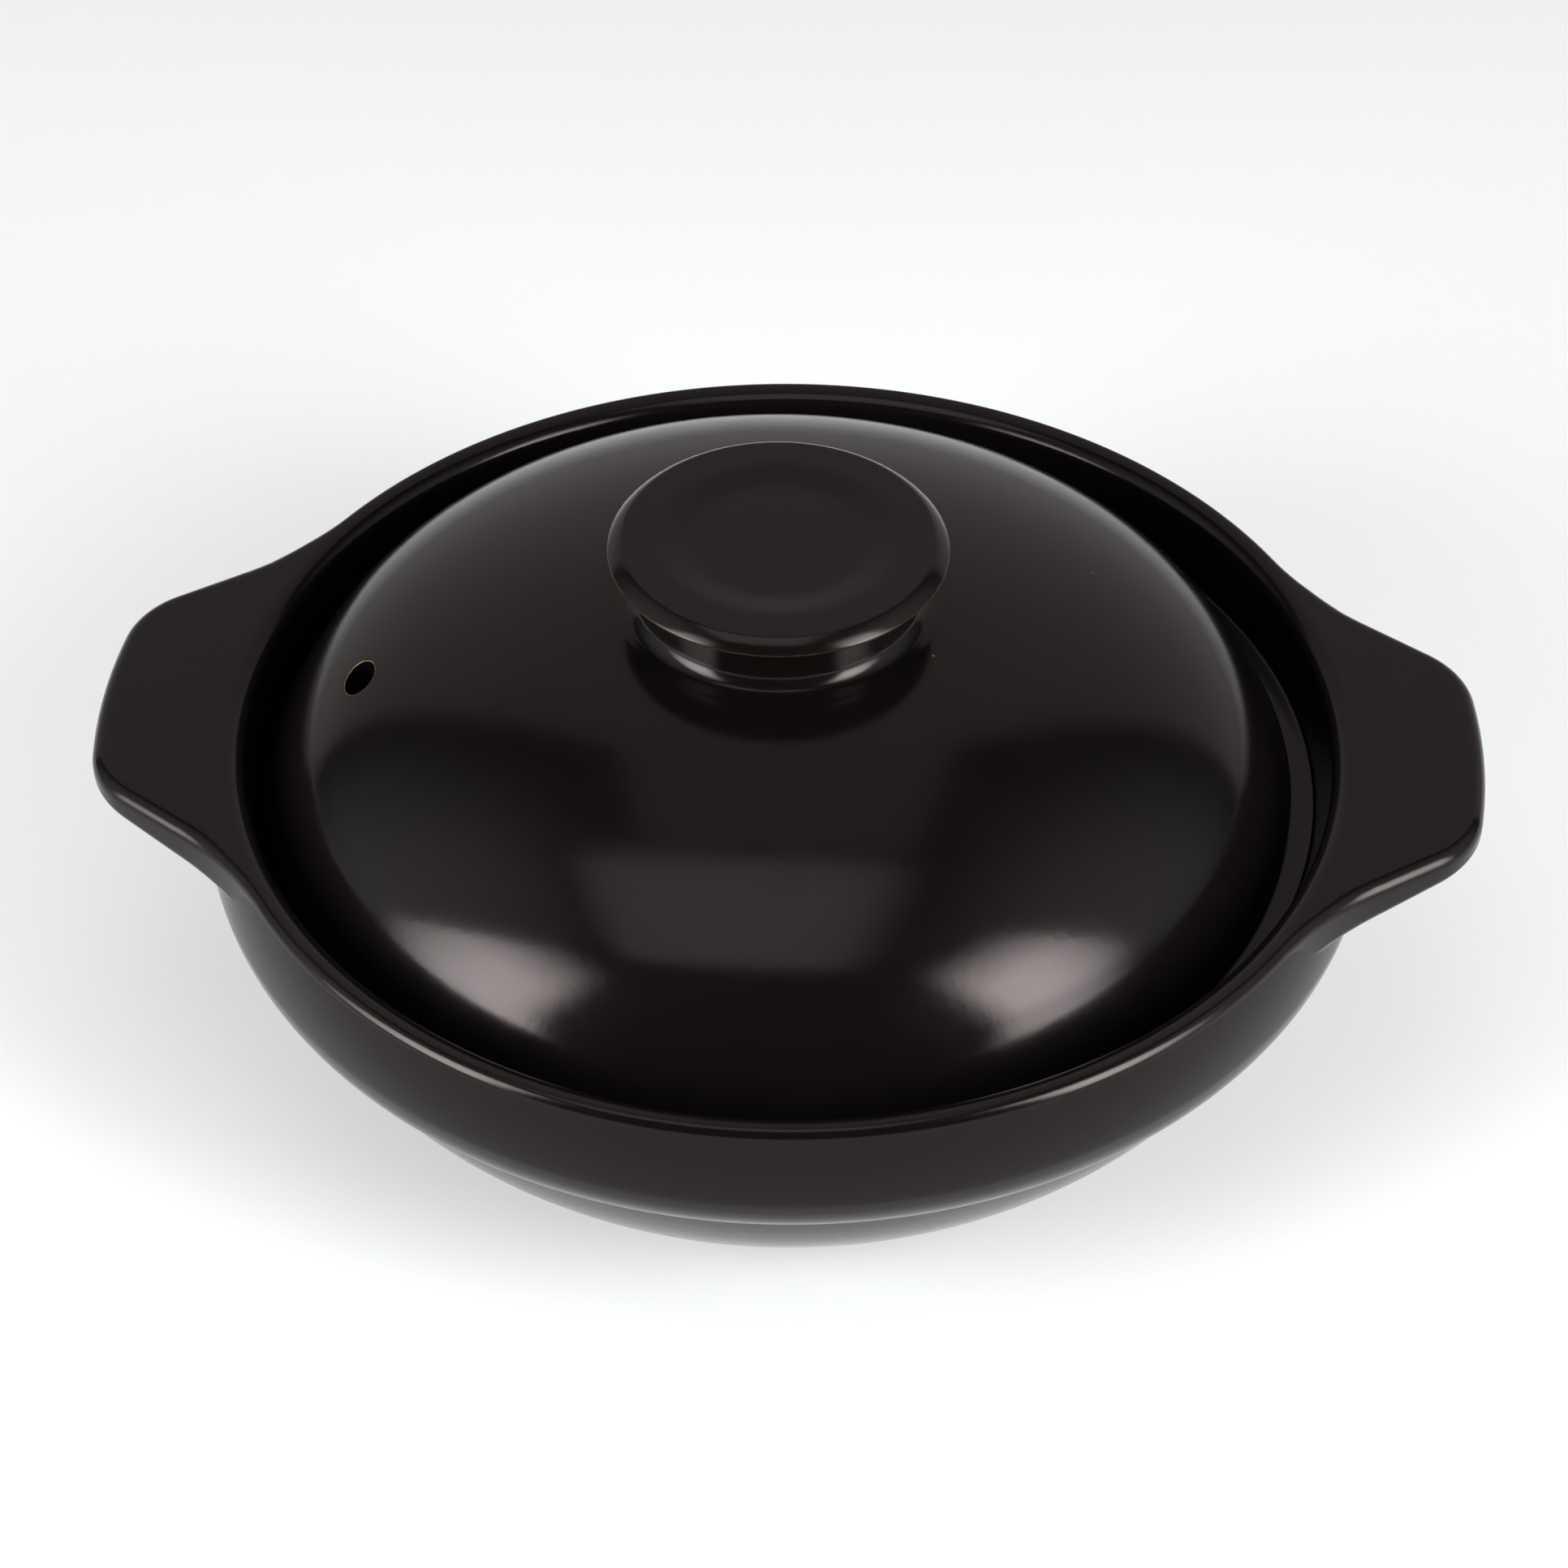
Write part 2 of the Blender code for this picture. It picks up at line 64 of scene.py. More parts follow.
# Lug handles
LUG_TIP = 144.2
LUG_CORNER = 20.5
LUG_SIDE_TURN = 55.0            # direction that each side of a lug faces, from its middle line
LUG_SIDE_REACH = 104.1
LUG_ROOT_CURVE = 70.0
LUG_ROUND = (3.0, 2.5)          # rounding of its upper and lower edge
LUG_UNDER = (127.0, 65.2)       # where its underside begins to curve down into the band
LUG_TIP_UNDER = 68.0
LUG_FILLET = 5.5
LUG_LOW = 57.0                  # lowest place of the luted root
LUG_SEAT_TOP = 66.0             # where the seat's wall leaves the curve of the rim
LUG_HALF_TURN = 33.0            # direction from a lug's middle line to the end of its root

# Lid
LID_SHIFT = -2.3                # the lid has slid to the -X side of its rebate
DOME = (103.43, 63.5, 45.7)     # radius, height of its springing, rise
DOME_POWER = 2.1
LID_WALL = 5.5
FLANGE = (107.43, 60.6)         # radius and underside of the lid's edge
FLANGE_ROUND = 1.5
FLANGE_LIP = 0.3                # upright part of the edge, between its two roundings
HOLE_AT = (86.0, 187.0)         # steam hole: distance from the lid's axis, direction
HOLE = (4.6, 3.75)              # its half width round the lid and half height up the slope
HOLE_ROUND = 0.5
HOLE_PATCH = 6.4                # half the turn of the lid that the mesh round the hole takes up

# Knob
KNOB_R = 34.5
KNOB_TOP = 123.3                # crest of its margin
KNOB_DISH = (17.0, 25.5, 0.8)   # flat of the dish, its outer edge, its depth
KNOB_CREST = 31.6               # where its margin begins to fall
KNOB_FALL = 0.42                # how steeply it falls there, and more so towards the lip
KNOB_LIP = 120.9
KNOB_LIP_DEPTH = 0.5            # thickness of the disc at its lip
KNOB_NECK = (28.3, 115.4)       # waist of the neck
KNOB_FOOT = (28.6, 111.2)       # where the neck begins to spread
KNOB_SPREAD = 3.8               # hollow curve from the neck to the dome
KNOB_BED = 0.3                  # how deep the knob is set into the dome
KNOB_THIN = 0.3                 # width of the line at its lip where the glaze has run thin

# Camera that the photograph was fitted with
VIEW = (-86.336, 40.554, 0.352)         # azimuth, elevation, roll
VIEW_DISTANCE = 920.0                   # from the middle of the rim
LENS = 101.57                           # focal length for a sensor 36 mm wide
LENS_SHIFT = (-0.00304, -0.04063)

# Studio
FLOOR_HALF = 3000.0
FLOOR_GAP = 0.1                         # keeps the paper clear of the foot
FLOOR_LIFT = 0.2                        # glow that brings the lit paper up to white
SOFTBOX_AIM = 90.0                      # height that the softboxes are aimed at
SOFTBOX_DISTANCE = 1200.0
OVERHEAD_AT = (-100.0, -280.0, 1140.0)
OVERHEAD_HALF = (530.0, 380.0)

# Sizes that follow from the ones above
CREST = BELLY[0] - BAND_CURVE + math.sqrt((BAND_CURVE - RIM_ROUND) ** 2 - (RIM_Z - RIM_ROUND - BELLY[1]) ** 2)
RIM_EDGE = BELLY[0] - BAND_CURVE + math.sqrt(BAND_CURVE ** 2 - (RIM_Z - RIM_ROUND - BELLY[1]) ** 2)


# Shapes

def polar(centre, radius, turn):
    angle = math.radians(turn)
    return (centre[0] + radius * math.cos(angle), centre[1] + radius * math.sin(angle))


def arc(centre, radius, start, end, count=40):
    """Points on a circle from one direction to another."""
    return [polar(centre, radius, start + (end - start) * i / count) for i in range(count + 1)]


def oval(centre, across, up, start, end, count=40):
    """Points on an upright oval from one direction to another."""
    turns = np.radians(np.linspace(start, end, count + 1))
    return [(centre[0] + across * math.cos(t), centre[1] + up * math.sin(t)) for t in turns]


def turn_to(centre, point):
    return math.degrees(math.atan2(point[1] - centre[1], point[0] - centre[0]))


def bulged(upper, lower, bulge):
    """Centre and radius of the curve that swells outward between two points."""
    half = ((lower[0] - upper[0]) / 2, (lower[1] - upper[1]) / 2)
    length = math.hypot(*half)
    radius = (length ** 2 + bulge ** 2) / (2 * bulge)
    inward = (radius - bulge) / length
    return (upper[0] + half[0] + half[1] * inward, upper[1] + half[1] - half[0] * inward), radius


def softened(line, softness):
    """The section line under its coat of glaze, which rounds each arris a little."""
    line = np.array(line, float)
    steps = np.hypot(*np.diff(line, axis=0).T)
    along = np.concatenate(([0], np.cumsum(steps)))
    fine = np.linspace(0, along[-1], int(along[-1] / (0.25 * softness)) + 2)
    dense = np.stack([np.interp(fine, along, line[:, k]) for k in (0, 1)], 1)
    reach = 12
    weights = np.exp(-0.5 * (np.arange(-reach, reach + 1) / 4.0) ** 2)
    weights /= weights.sum()
    padded = np.concatenate((2 * dense[0] - dense[reach:0:-1], dense, 2 * dense[-1] - dense[-2:-reach - 2:-1]))
    return np.stack([np.convolve(padded[:, k], weights, "valid") for k in (0, 1)], 1)


def spread(line, count, longest=4.0, sharpest=12.0):
    """Points along a section line, closer together where it bends."""
    steps = np.diff(line, axis=0)
    lengths = np.hypot(*steps.T)
    turns = np.unwrap(np.arctan2(steps[:, 1], steps[:, 0]))
    bends = np.abs(np.gradient(turns))
    window = np.ones(9) / 9
    bends = np.convolve(np.pad(bends, 4, mode="edge"), window, "valid")
    cost = lengths / longest + np.degrees(bends) / sharpest
    along = np.concatenate(([0], np.cumsum(cost)))
    wanted = np.linspace(0, along[-1], count)
    return np.stack([np.interp(wanted, along, line[:, k]) for k in (0, 1)], 1)


def rounded(a, b, radius):
    """Distance to the overlap of two solids, with its edge rounded."""
    return np.minimum(np.maximum(a, b), -radius) + np.hypot(np.maximum(a + radius, 0), np.maximum(b + radius, 0))


def filleted(a, b, radius):
    """Distance to two solids stuck together, with a hollow curve between them."""
    return np.maximum(np.minimum(a, b), radius) - np.hypot(np.maximum(radius - a, 0), np.maximum(radius - b, 0))


def lug_plan(turn):
    """Distance of a lug's edge from the pot's axis, in directions measured from its middle line."""
    turn = np.abs(turn)
    root = RIM_EDGE + LUG_ROOT_CURVE
    root_turn = LUG_SIDE_TURN - math.degrees(math.acos((LUG_SIDE_REACH + LUG_ROOT_CURVE) / root))
    corner = LUG_TIP - LUG_CORNER
    corner_turn = LUG_SIDE_TURN - math.degrees(math.acos((LUG_SIDE_REACH - LUG_CORNER) / corner))
    side_end = np.array(polar((0, 0), corner, corner_turn)) + polar((0, 0), LUG_CORNER, LUG_SIDE_TURN)
    side_start = np.array(polar((0, 0), root, root_turn)) - polar((0, 0), LUG_ROOT_CURVE, LUG_SIDE_TURN)
    at_corner = np.radians(turn - corner_turn)
    at_root = np.radians(root_turn - turn)
    corner_reach = np.sqrt(np.maximum(LUG_CORNER ** 2 - (corner * np.sin(at_corner)) ** 2, 0))
    round_corner = corner * np.cos(at_corner) + corner_reach
    root_reach = np.sqrt(np.maximum(LUG_ROOT_CURVE ** 2 - (root * np.sin(at_root)) ** 2, 0))
    hollow_root = root * np.cos(at_root) - root_reach
    side = LUG_SIDE_REACH / np.cos(np.radians(LUG_SIDE_TURN - turn))
    return np.select(
        [turn <= corner_turn, turn <= turn_to((0, 0), side_end), turn <= turn_to((0, 0), side_start), turn < root_turn],
        [LUG_TIP, round_corner, side, hollow_root], RIM_EDGE)


def outside_of_pot(r, z, turn):
    """Distance to the solid of the rim, the band and a lug."""
    upper = np.hypot(r - (BELLY[0] - BAND_CURVE), z - BELLY[1]) - BAND_CURVE
    lower = np.hypot(r - (BELLY[0] - TUCK_CURVE), z - BELLY[1]) - TUCK_CURVE
    band = np.where(z > BELLY[1], upper, lower)
    edge = lug_plan(turn)
    slant = (lug_plan(turn + 0.05) - lug_plan(turn - 0.05)) / math.radians(0.1) / edge
    plan = (r - edge) / np.hypot(1, slant)
    slope = (LUG_TIP_UNDER - LUG_UNDER[1]) / (LUG_TIP - LUG_UNDER[0])
    under = (LUG_UNDER[1] + slope * (r - LUG_UNDER[0]) - z) / math.hypot(1, slope)
    plate = rounded(plan, under, LUG_ROUND[1])
    stands_out = np.maximum(edge - BELLY[0], 0)
    body = filleted(band, plate, np.minimum(LUG_FILLET, 0.8 * stands_out) + 0.01)
    edge_round = RIM_ROUND + (LUG_ROUND[0] - RIM_ROUND) * np.minimum(stands_out / 4, 1)
    return rounded(body, z - RIM_Z, edge_round)


def lug_sections(turns, count):
    """Outer line of the pot from its crest down to the foot of the luted root, in each of several directions."""
    centre = (CREST, RIM_Z - 3.0)
    last = (BELLY[0] - TUCK_CURVE + math.sqrt(TUCK_CURVE ** 2 - (BELLY[1] - LUG_LOW) ** 2), LUG_LOW)
    rays = np.radians(np.linspace(90, turn_to(centre, last), 1500))[None, :]
    turns = np.asarray(turns)[:, None]
    near = np.zeros((turns.shape[0], rays.shape[1]))
    far = np.full_like(near, 45.0)
    for _ in range(30):
        middle = (near + far) / 2
        inside = outside_of_pot(centre[0] + middle * np.cos(rays), centre[1] + middle * np.sin(rays), turns) < 0
        near = np.where(inside, middle, near)
        far = np.where(inside, far, middle)
    lines = np.stack([centre[0] + near * np.cos(rays), centre[1] + near * np.sin(rays)], 2)
    return np.stack([spread(line, count, longest=2.2, sharpest=9.0) for line in lines])


def bowl_curve():
    """Centre and radius of the bowl's outside, from the crease under the band to the foot ring."""
    crease = polar((BELLY[0] - TUCK_CURVE, BELLY[1]), TUCK_CURVE, -TUCK_TURN)
    return bulged(crease, (FOOT[0], FOOT_TOP), BOWL_BULGE)


def pot_inside():
    """Section from the middle of the cooking surface, over the ledge and up the rebate, to the crest of the rim."""
    centre, radius = bowl_curve()
    inner = radius - BOWL_WALL
    start = -math.degrees(math.asin((centre[1] - FLOOR_Z) / inner))
    rim = arc((CREST, RIM_Z - RIM_INNER_ROUND), RIM_INNER_ROUND, 180 - REBATE_LEAN, 90)
    ledge = rim[0][0] - (rim[0][1] - LEDGE_Z) * math.tan(math.radians(REBATE_LEAN))
    line = [(0, FLOOR_Z)] + arc(centre, inner, start, -28)
    line += [(ledge - LEDGE_W, LEDGE_Z), (ledge, LEDGE_Z)] + rim
    return softened(line, 0.5)


def pot_underside():
    """Section from the foot of the lugs' roots, past the crease and the foot ring, to the middle of the underside."""
    tuck = (BELLY[0] - TUCK_CURVE, BELLY[1])
    start = -math.degrees(math.asin((BELLY[1] - LUG_LOW) / TUCK_CURVE))
    centre, radius = bowl_curve()
    line = arc(tuck, TUCK_CURVE, start, -TUCK_TURN)
    line += arc(centre, radius, turn_to(centre, line[-1]), turn_to(centre, (FOOT[0], FOOT_TOP)))[1:]
    line += [(FOOT[0], 0), (FOOT[1], 0), (FOOT[1], FOOT_RECESS), (0, FOOT_RECESS)]
    return softened(line, 0.5)


def dome_height(r, inset=0.0):
    radius, spring, rise = DOME
    share = np.clip(r / (radius - inset), 0, 1) ** DOME_POWER
    return spring + (rise - inset) * (1 - share) ** (1 / DOME_POWER)


def dome_line(inset, lowest, count=400):
    """Section of the dome from its top down to a height."""
    radius, spring, rise = DOME
    turns = np.radians(np.linspace(90, 0, count))
    r = (radius - inset) * np.maximum(np.cos(turns), 0) ** (2 / DOME_POWER)
    z = spring + (rise - inset) * np.maximum(np.sin(turns), 0) ** (2 / DOME_POWER)
    r[0] = 0
    keep = z >= lowest
    return list(zip(r[keep], z[keep]))


def lid_outside():
    """Section of the lid from its top to its outer edge: where the dome ends it runs straight out to the edge."""
    lip = arc((FLANGE[0] - FLANGE_ROUND, FLANGE[1] + FLANGE_ROUND + FLANGE_LIP), FLANGE_ROUND, 70, 0, 24)
    line = []
    for point in dome_line(0, DOME[1] + 2) + lip:
        while len(line) > 1 and ((line[-1][0] - line[-2][0]) * (point[1] - line[-1][1])
                                 - (line[-1][1] - line[-2][1]) * (point[0] - line[-1][0])) > 0:
            line.pop()
        line.append(tuple(point))
    return softened(line, 0.35)


def lid_underside():
    """Section of the lid from its outer edge to the middle of its inside."""
    line = arc((FLANGE[0] - FLANGE_ROUND, FLANGE[1] + FLANGE_ROUND), FLANGE_ROUND, 0, -90, 12)
    line.append((DOME[0] - LID_WALL, FLANGE[1]))
    line += reversed(dome_line(LID_WALL, DOME[1]))
    return softened(line, 0.35)


def knob_section():
    """Section from the middle of the dished top, round the disc and the neck, to where the foot meets the dome."""
    flat, edge, depth = KNOB_DISH
    ramp = np.linspace(0, 1, 20)
    ease = ramp * ramp * (3 - 2 * ramp)
    line = [(0, KNOB_TOP - depth)]
    line += list(zip(flat + (edge - flat) * ramp, KNOB_TOP - depth + depth * ease))
    fall = (KNOB_TOP - KNOB_LIP) / (KNOB_R - KNOB_CREST)
    steepening = fall - KNOB_FALL
    line += list(zip(KNOB_CREST + (KNOB_R - KNOB_CREST) * ramp,
                     KNOB_TOP - (KNOB_TOP - KNOB_LIP) * (KNOB_FALL * ramp + steepening * ramp ** 2) / fall))
    line += oval((KNOB_R, KNOB_NECK[1]), KNOB_R - KNOB_NECK[0], KNOB_LIP - KNOB_LIP_DEPTH - KNOB_NECK[1], 90, 180)
    line += arc((KNOB_FOOT[0] + KNOB_SPREAD, KNOB_FOOT[1]), KNOB_SPREAD, 180, 262, 24)
    beyond = line[-1][0] + np.linspace(0.4, 2.4, 8)
    above = line[-1][1] - dome_height(line[-1][0])
    line += list(zip(beyond, dome_height(beyond) - 0.03 + (above + 0.03) * np.linspace(0.75, 0, 8) ** 2))
    return softened(line, 0.16)


# Meshes

def turned(line, turns):
    """Grid of points: a section line set up in each of several directions round the axis."""
    angles = np.radians(turns)[None, :]
    if line.ndim == 2:
        line = line[:, None, :]
    r, z = line[..., 0], line[..., 1]
    return np.stack([r * np.cos(angles), r * np.sin(angles), z + 0 * angles], -1)


def quads(numbers, closed=True):
    """Faces between the rows and columns of a grid of point numbers."""
    beside = np.roll(numbers, -1, axis=1)
    faces = np.stack([numbers[:-1], numbers[1:], beside[1:], beside[:-1]], -1)
    if not closed:
        faces = faces[:, :-1]
    return faces.reshape(-1, 4)


def fan(ring, middle, outward_first):
    """Triangles from a ring of point numbers to the point in its middle."""
    beside = np.roll(ring, -1)
    middle = np.full_like(ring, middle)
    faces = (middle, ring, beside) if outward_first else (middle, beside, ring)
    return np.stack(faces, -1)


def smooth_normals(points, faces):
    """Normal at each point, from the faces round it by their area."""
    normals = np.zeros_like(points)
    for group in faces:
        corners = points[group]
        across = np.cross(corners[:, 2] - corners[:, 0], corners[:, -1] - corners[:, 1])
        for k in range(group.shape[1]):
            np.add.at(normals, group[:, k], across)
    length = np.linalg.norm(normals, axis=1, keepdims=True)
    return normals / np.maximum(length, 1e-9)


def piece(name, points, faces, normals, bare, material, body, nodes):
    """One named piece of the pot, from its points in millimetres, in place of its CAD nodes."""
    faces = [face for group in faces for face in np.asarray(group).tolist()]
    used = np.unique(np.concatenate([np.array(face) for face in faces]))
    renumber = np.full(len(points), -1)
    renumber[used] = np.arange(len(used))
    mesh = bpy.data.meshes.new(name)
    mesh.from_pydata((points[used] * MM).tolist(), [], [renumber[np.array(face)].tolist() for face in faces])
    mesh.materials.append(material)
    mesh.shade_smooth()
    mesh.normals_split_custom_set_from_vertices(normals[used].tolist())
    mask = mesh.attributes.new("thin_glaze", "FLOAT", "POINT")
    mask.data.foreach_set("value", bare[used].astype(np.float32))
    obj = bpy.data.objects.new(name, mesh)
    bpy.context.scene.collection.objects.link(obj)
    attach(obj, body)
    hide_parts(*nodes)


def build_pot(material):
    """Bowl and lugs from one skin, parted at the seats where the lugs are luted on."""
    fine = np.linspace(-LUG_HALF_TURN, LUG_HALF_TURN, 129)
    plain = np.linspace(LUG_HALF_TURN, 180 - LUG_HALF_TURN, 105)[1:-1]
    turns = np.concatenate((fine, plain, fine + 180, plain + 180))
    from_middle = np.concatenate((fine, plain, fine, plain))
    from_middle = np.where(np.abs(from_middle) > 90, 180 - from_middle, from_middle)
    half, where = np.unique(np.round(np.abs(from_middle), 6), return_inverse=True)
    outer = lug_sections(half, 52)[where].transpose(1, 0, 2)
    inside = spread(pot_inside(), 84)[1:]
    under = spread(pot_underside(), 76)[:-1]
    rows = np.concatenate((turned(inside[:-1], turns), turned(outer, turns), turned(under[1:], turns)))
    numbers = np.arange(rows.shape[0] * rows.shape[1]).reshape(rows.shape[:2])
    points = np.concatenate((rows.reshape(-1, 3), [(0, 0, FLOOR_Z), (0, 0, FOOT_RECESS)]))
    floor, foot = len(points) - 2, len(points) - 1
    crest = len(inside) - 1
    low = crest + outer.shape[0] - 1
    caps = [fan(numbers[0], floor, True), fan(numbers[-1], foot, False)]
    normals = smooth_normals(points, [quads(numbers)] + caps)

    wall = np.array([(CREST, LUG_SEAT_TOP), (CREST, LUG_LOW), (0.5 * (CREST + outer[-1, 0, 0]), LUG_LOW)])
    pot_faces = [quads(numbers[:crest + 1]), quads(numbers[low:])] + caps
    lugs = {}
    start = 0
    for side, columns in (("right", fine), ("left", fine + 180)):
        span = np.arange(start, start + len(columns))
        seat = turned(wall, columns)
        seat_numbers = len(points) + np.arange(seat.shape[0] * seat.shape[1]).reshape(seat.shape[:2])
        points = np.concatenate((points, seat.reshape(-1, 3)))
        normals = np.concatenate((normals, np.tile((0.0, 0.0, 1.0), (seat_numbers.size, 1))))
        joint = np.concatenate((numbers[crest:crest + 1, span], seat_numbers, numbers[low:low + 1, span]))
        skin = numbers[crest:low + 1, span]
        ends = [np.concatenate((skin[:, k], joint[-2:0:-1, k])) for k in (0, -1)]
        pot_faces += [quads(joint, closed=False), ends[0][None, ::-1], ends[1][None, :]]
        lugs[side] = [quads(skin, closed=False), quads(joint, closed=False)[:, ::-1],
                      ends[0][None, :], ends[1][None, ::-1]]
        last = start + len(columns) - 1
        after = np.arange(last, last + len(plain) + 2) % len(turns)
        pot_faces.append(quads(numbers[crest:low + 1, after], closed=False))
        start += len(columns) + len(plain)

    standing = np.hypot(points[:, 0], points[:, 1])
    bare = np.clip((0.5 - points[:, 2]) / 0.4, 0, 1) * (standing > FOOT[1] - 1) * (standing < FOOT[0] + 1)
    piece("pot_body", points, pot_faces, normals, bare, material, "pot", ["pot_body"])
    for side, faces in lugs.items():
        piece("lug_handle_" + side, points, faces, normals, bare, material, "pot", ["lug_handle_" + side])


def onto_dome(u, v, inset):
    """Points of the dome's outside or inside, straight under a spot on the plane that touches it at the steam hole."""
    radius, spring, rise = DOME
    centre, across, up, out = hole_axes()
    start = centre + u[..., None] * across + v[..., None] * up
    depth = np.full(u.shape, -inset, float)
    for _ in range(12):
        spot = start + depth[..., None] * out
        r = np.hypot(spot[..., 0], spot[..., 1])
        z = spot[..., 2] - spring
        a, b = r / (radius - inset), z / (rise - inset)
        value = a ** DOME_POWER + b ** DOME_POWER - 1
        by_r = DOME_POWER * a ** (DOME_POWER - 1) / (radius - inset)
        by_z = DOME_POWER * b ** (DOME_POWER - 1) / (rise - inset)
        slope = by_r * (spot[..., 0] * out[0] + spot[..., 1] * out[1]) / r + by_z * out[2]
        depth = depth - value / slope
    return start + depth[..., None] * out


def hole_axes():
    """Middle of the steam hole on the dome, the directions round the lid and up the slope, and the dome's normal."""
    r, turn = HOLE_AT
    angle = math.radians(turn)
    step = 0.01
    slope = (dome_height(r + step) - dome_height(r - step)) / (2 * step)
    outward = np.array((math.cos(angle), math.sin(angle), 0))
    across = np.array((-math.sin(angle), math.cos(angle), 0))
    normal = np.array((-slope * outward[0], -slope * outward[1], 1)) / math.hypot(1, slope)
    return outward * r + np.array((0, 0, float(dome_height(r)))), across, np.cross(normal, across), normal


def build_lid(material):
    """Domed lid, with the steam hole poked through it square to the dome."""
    near = np.linspace(-HOLE_PATCH, HOLE_PATCH, 33)
    turns = HOLE_AT[1] + np.concatenate((near, np.linspace(HOLE_PATCH, 360 - HOLE_PATCH, 321)[1:-1]))
    outside = spread(lid_outside(), 132, longest=1.6)[1:]
    under = spread(lid_underside(), 112, longest=1.6)[1:-1]
    rows = np.concatenate((turned(outside, turns), turned(under, turns)))
    numbers = np.arange(rows.shape[0] * rows.shape[1]).reshape(rows.shape[:2])
    points = rows.reshape(-1, 3)
    centre, across, up, normal = hole_axes()

    half_rows = 6
    patches = []
    for first, last, inset in ((0, len(outside), 0.0), (len(outside), len(rows), LID_WALL)):
        middle = onto_dome(np.zeros(1), np.zeros(1), inset)[0]
        column = rows[first:last, len(near) // 2]
        row = first + int(np.argmin(np.linalg.norm(column - middle, axis=1)))
        block = numbers[row - half_rows:row + half_rows + 1, :len(near)]
        if inset:
            block = block[::-1]
        loop = np.concatenate((block[0], block[1:, -1], block[-1, -2::-1], block[-2:0:-1, 0]))
        patches.append((row, loop))

    loop = patches[0][1]
    offset = points[loop] - centre
    u, v = offset @ across, offset @ up
    turn = np.arctan2(v / HOLE[1], u / HOLE[0])
    rings = []
    bare = []
    for share in (0.25, 0.45, 0.62, 0.76, 0.88, 0.96):
        wide, high = HOLE[0] + HOLE_ROUND, HOLE[1] + HOLE_ROUND
        rings.append(onto_dome(u + (wide * np.cos(turn) - u) * share, v + (high * np.sin(turn) - v) * share, 0.0))
        bare.append(0.0)
    for bend in np.radians(np.linspace(0, 90, 9)):
        wide = HOLE[0] + HOLE_ROUND * (1 - math.sin(bend))
        high = HOLE[1] + HOLE_ROUND * (1 - math.sin(bend))
        sunk = HOLE_ROUND * (1 - math.cos(bend))
        rings.append(onto_dome(wide * np.cos(turn), high * np.sin(turn), 0.0) - sunk * normal)
        bare.append(0.7 * math.sin(2 * bend) ** 4)
    outer_edge = rings[-1]
    inner_edge = onto_dome(HOLE[0] * np.cos(turn), HOLE[1] * np.sin(turn), LID_WALL)
    for share in (0.2, 0.4, 0.6, 0.8):
        rings.append(outer_edge + (inner_edge + HOLE_ROUND * normal - outer_edge) * share)
        bare.append(0.0)
    for bend in np.radians(np.linspace(90, 0, 6)):
        wide = HOLE[0] + HOLE_ROUND * (1 - math.sin(bend))
        high = HOLE[1] + HOLE_ROUND * (1 - math.sin(bend))
        sunk = HOLE_ROUND * (1 - math.cos(bend))
        rings.append(onto_dome(wide * np.cos(turn), high * np.sin(turn), LID_WALL) + sunk * normal)
        bare.append(0.0)
    inner_loop = patches[1][1]
    offset = points[inner_loop] - centre
    inner_u, inner_v = offset @ across, offset @ up
    for share in (0.1, 0.25, 0.45, 0.7):
        wide, high = HOLE[0] + HOLE_ROUND, HOLE[1] + HOLE_ROUND
        inner_ring_u = wide * np.cos(turn) + (inner_u - wide * np.cos(turn)) * share
        inner_ring_v = high * np.sin(turn) + (inner_v - high * np.sin(turn)) * share
        rings.append(onto_dome(inner_ring_u, inner_ring_v, LID_WALL))
        bare.append(0.0)
    rings = np.array(rings)
    ring_numbers = len(points) + np.arange(rings.shape[0] * rings.shape[1]).reshape(rings.shape[:2])
    hole = np.concatenate((loop[None, :], ring_numbers, inner_loop[None, :]))

    grid = quads(numbers).reshape(len(rows) - 1, len(turns), 4)
    keep = np.ones(grid.shape[:2], bool)
    for row, _ in patches:
        keep[row - half_rows:row + half_rows, :len(near) - 1] = False
    top = len(points) + rings.shape[0] * rings.shape[1]
    under_top = top + 1
    points = np.concatenate((points, rings.reshape(-1, 3),
                             [(0, 0, DOME[1] + DOME[2]), (0, 0, DOME[1] + DOME[2] - LID_WALL)]))
    faces = [grid[keep], quads(hole), fan(numbers[0], top, True), fan(numbers[-1], under_top, False)]
    normals = smooth_normals(points, faces)
    on_dome = numbers[len(outside) // 3]
    if np.sum(normals[on_dome] * points[on_dome]) < 0:
        faces = [group[:, ::-1] for group in faces]
        normals = -normals
    mask = np.zeros(len(points))
    mask[ring_numbers] = np.array(bare)[:, None]
    points[:, 0] += LID_SHIFT
    piece("lid_dome", points, faces, normals, mask, material, "lid", ["lid_dome"])


